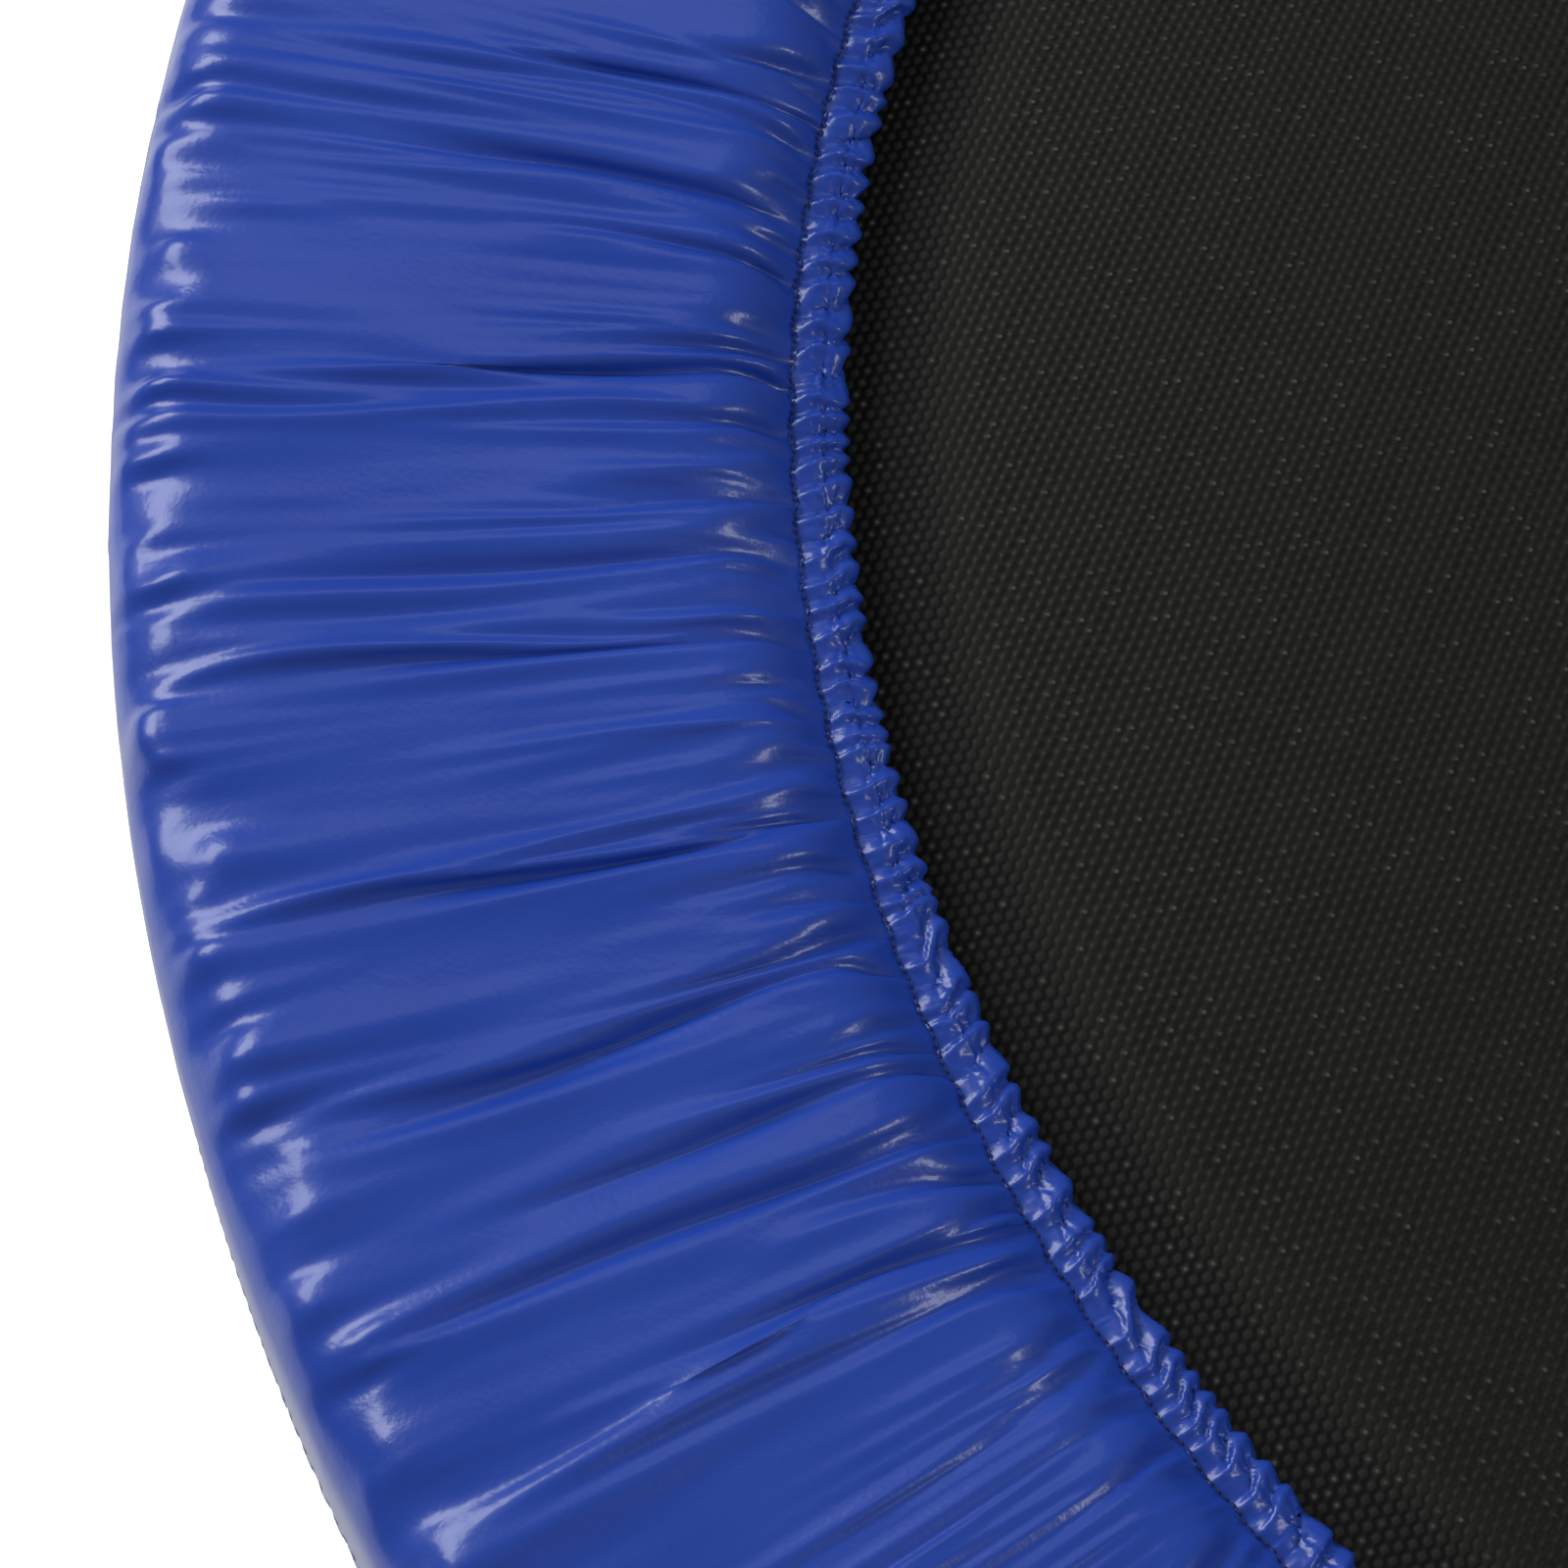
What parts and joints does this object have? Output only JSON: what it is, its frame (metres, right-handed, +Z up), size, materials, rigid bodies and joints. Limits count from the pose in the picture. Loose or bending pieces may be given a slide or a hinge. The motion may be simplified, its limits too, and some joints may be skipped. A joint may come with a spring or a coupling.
{
  "type": "mini trampoline",
  "caption": "Round mini trampoline: woven mat on extension springs in a steel ring with screw-in legs, under a gathered padded spring cover.",
  "frame": {"origin": "centre of the ring, on the floor under the feet", "axes": "+Z up along the ring's axis; +X through the first leg"},
  "size_m": [0.914, 0.914, 0.2296],
  "materials": {
    "vinyl": "gloss",
    "foam": "matte",
    "backing": "matte",
    "elastic": "matte",
    "weave": "satin",
    "webbing": "matte",
    "coat": "satin",
    "zinc": "satin",
    "rubber": "matte"
  },
  "bodies": {
    "frame": {"frame_ring": "coat", "leg_sockets": "coat", "springs": "zinc", "pad_foam": "foam", "pad_backing": "backing", "pad_cover": "vinyl", "inner_casing": "vinyl", "inner_elastic": "elastic", "outer_casing": "vinyl", "outer_elastic": "elastic"},
    "mat": {"jump_mat": "weave", "mat_hem": "webbing", "v_rings": "zinc"},
    "leg_1": {"leg_1_tube": "coat", "leg_1_stud": "zinc", "leg_1_foot": "rubber"},
    "leg_2": {"leg_2_tube": "coat", "leg_2_stud": "zinc", "leg_2_foot": "rubber"},
    "leg_3": {"leg_3_tube": "coat", "leg_3_stud": "zinc", "leg_3_foot": "rubber"},
    "leg_4": {"leg_4_tube": "coat", "leg_4_stud": "zinc", "leg_4_foot": "rubber"},
    "leg_5": {"leg_5_tube": "coat", "leg_5_stud": "zinc", "leg_5_foot": "rubber"},
    "leg_6": {"leg_6_tube": "coat", "leg_6_stud": "zinc", "leg_6_foot": "rubber"}
  },
  "joints": [
    {"name": "mat_bounce", "type": "slide", "parent": "frame", "child": "mat", "axis": [0, 0, 1], "range_m": [-0.1, 0], "stiffness_N_per_m": 12000, "deforming": ["springs"]},
    {"name": "leg_1_unscrew", "type": "slide", "parent": "frame", "child": "leg_1", "axis": [0, 0, 1], "range_m": [-0.016, 0]},
    {"name": "leg_2_unscrew", "type": "slide", "parent": "frame", "child": "leg_2", "axis": [0, 0, 1], "range_m": [-0.016, 0]},
    {"name": "leg_3_unscrew", "type": "slide", "parent": "frame", "child": "leg_3", "axis": [0, 0, 1], "range_m": [-0.016, 0]},
    {"name": "leg_4_unscrew", "type": "slide", "parent": "frame", "child": "leg_4", "axis": [0, 0, 1], "range_m": [-0.016, 0]},
    {"name": "leg_5_unscrew", "type": "slide", "parent": "frame", "child": "leg_5", "axis": [0, 0, 1], "range_m": [-0.016, 0]},
    {"name": "leg_6_unscrew", "type": "slide", "parent": "frame", "child": "leg_6", "axis": [0, 0, 1], "range_m": [-0.016, 0]}
  ]
}
